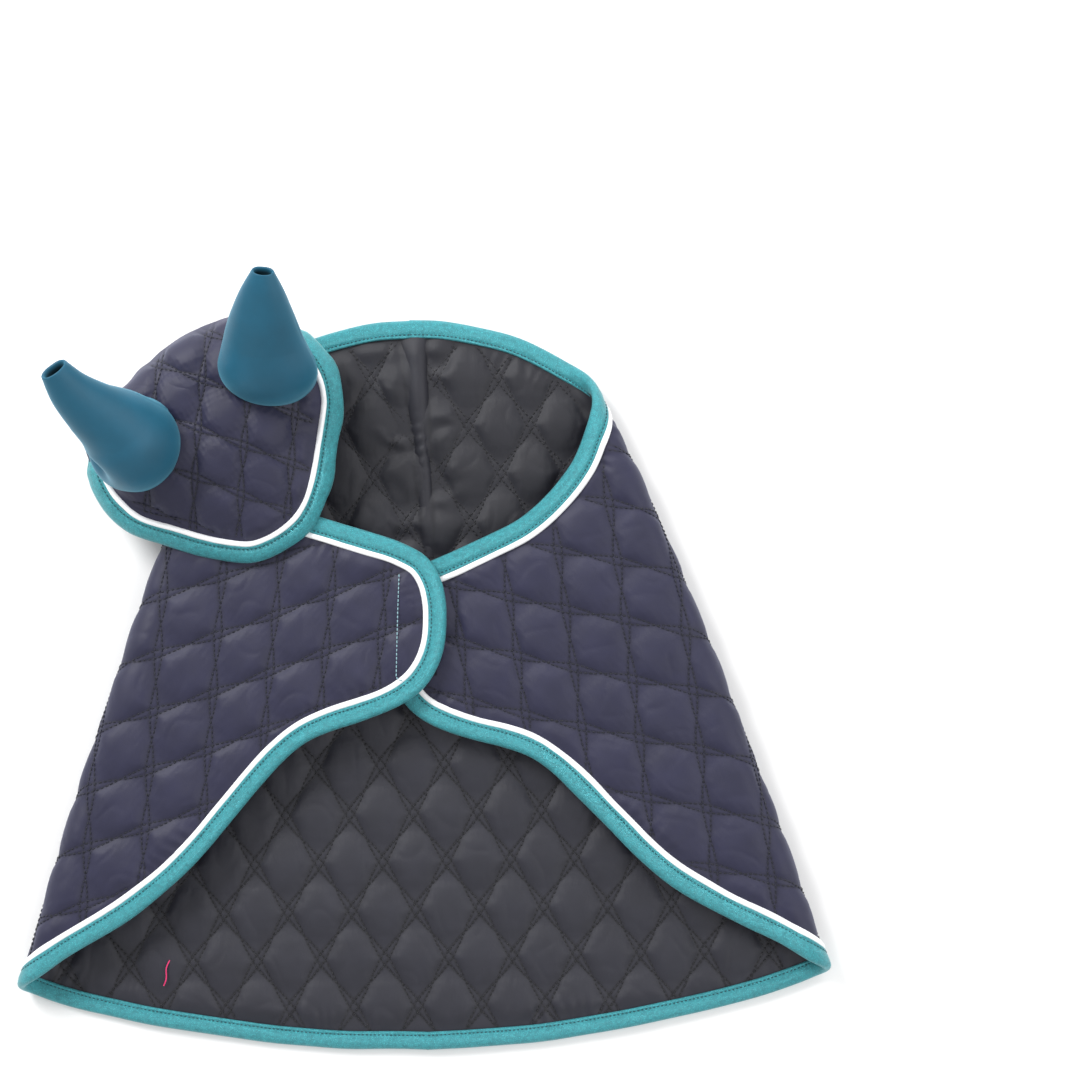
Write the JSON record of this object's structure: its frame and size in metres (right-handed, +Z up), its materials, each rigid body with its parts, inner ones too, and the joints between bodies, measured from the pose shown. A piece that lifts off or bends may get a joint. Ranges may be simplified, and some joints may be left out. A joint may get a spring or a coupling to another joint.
{
  "type": "turnout rug",
  "caption": "Quilted, lined horse turnout rug in hobby-horse size, folded flat with its chest closed over a touch-fastener tab, and a matching quilted ear bonnet lying on it.",
  "frame": {"origin": "on the spine line, midway between the back neckline and the back hem, on the face that lies on the table", "axes": "+Z up out of the table, +Y along the spine towards the neck, +X to the right with the neck at the top; the rug lies on its back with both fronts folded over it"},
  "size_m": [0.514, 0.4989, 0.1432],
  "materials": {
    "outer_cloth": "smooth satin-like quilted polyester, navy",
    "wadding": "loose polyester filling, hidden between the two cloths",
    "lining_cloth": "matt charcoal quilted polyester",
    "binding": "folded velvety teal binding tape with a fine glitter thread",
    "piping": "soft flat white satin piping",
    "ear_cloth": "smooth stretch cloth, petrol blue",
    "touch_fastener": "woven hook-and-loop tape",
    "tab_thread": "grey-teal sewing thread",
    "tack_thread": "pink sewing thread"
  },
  "bodies": {
    "back": {"back_hem_binding": "binding", "back_hem_piping": "piping", "back_lining": "lining_cloth", "back_neck_binding": "binding", "back_neck_piping": "piping", "back_outer": "outer_cloth", "back_wadding": "wadding", "marking_tack": "tack_thread", "withers_dart": "lining_cloth"},
    "left_side": {"left_side_hem_binding": "binding", "left_side_hem_piping": "piping", "left_side_lining": "lining_cloth", "left_side_neck_binding": "binding", "left_side_neck_piping": "piping", "left_side_outer": "outer_cloth", "left_side_wadding": "wadding"},
    "left_front": {"hook_strip": "touch_fastener", "left_front_binding": "binding", "left_front_lining": "lining_cloth", "left_front_outer": "outer_cloth", "left_front_piping": "piping", "left_front_wadding": "wadding", "tab_stitching": "tab_thread"},
    "right_side": {"right_side_hem_binding": "binding", "right_side_hem_piping": "piping", "right_side_lining": "lining_cloth", "right_side_neck_binding": "binding", "right_side_neck_piping": "piping", "right_side_outer": "outer_cloth", "right_side_wadding": "wadding"},
    "right_front": {"loop_strip": "touch_fastener", "right_front_binding": "binding", "right_front_lining": "lining_cloth", "right_front_outer": "outer_cloth", "right_front_piping": "piping", "right_front_wadding": "wadding"},
    "bonnet": {"bonnet_binding": "binding", "bonnet_lining": "lining_cloth", "bonnet_outer": "outer_cloth", "bonnet_piping": "piping", "bonnet_wadding": "wadding", "left_ear": "ear_cloth", "right_ear": "ear_cloth"}
  },
  "joints": [
    {"name": "left_side_fold", "type": "hinge", "parent": "back", "child": "left_side", "pos_m": [-0.11536, 0.18995, 0.006], "axis": [-0.3409, -0.9401, 0], "range_deg": [0, 90]},
    {"name": "left_front_fold", "type": "hinge", "parent": "left_side", "child": "left_front", "pos_m": [-0.11536, 0.18995, 0.024], "axis": [-0.3409, -0.9401, 0], "range_deg": [0, 90]},
    {"name": "right_side_fold", "type": "hinge", "parent": "back", "child": "right_side", "pos_m": [0.11536, 0.18995, 0.006], "axis": [-0.3409, 0.9401, 0], "range_deg": [0, 90]},
    {"name": "right_front_fold", "type": "hinge", "parent": "right_side", "child": "right_front", "pos_m": [0.11536, 0.18995, 0.024], "axis": [-0.3409, 0.9401, 0], "range_deg": [0, 45]},
    {"name": "bonnet_lift", "type": "slide", "parent": "back", "child": "bonnet", "axis": [0, 0.5735, 0.8192], "range_m": [0, 0.31]}
  ],
  "couplings": [
    {"joint": "left_front_fold", "follows": "left_side_fold", "ratio": 0.97778},
    {"joint": "right_side_fold", "follows": "left_side_fold", "ratio": 1},
    {"joint": "right_front_fold", "follows": "left_side_fold", "ratio": 0.46667},
    {"joint": "bonnet_lift", "follows": "left_side_fold", "m_per_rad": 0.19099}
  ]
}
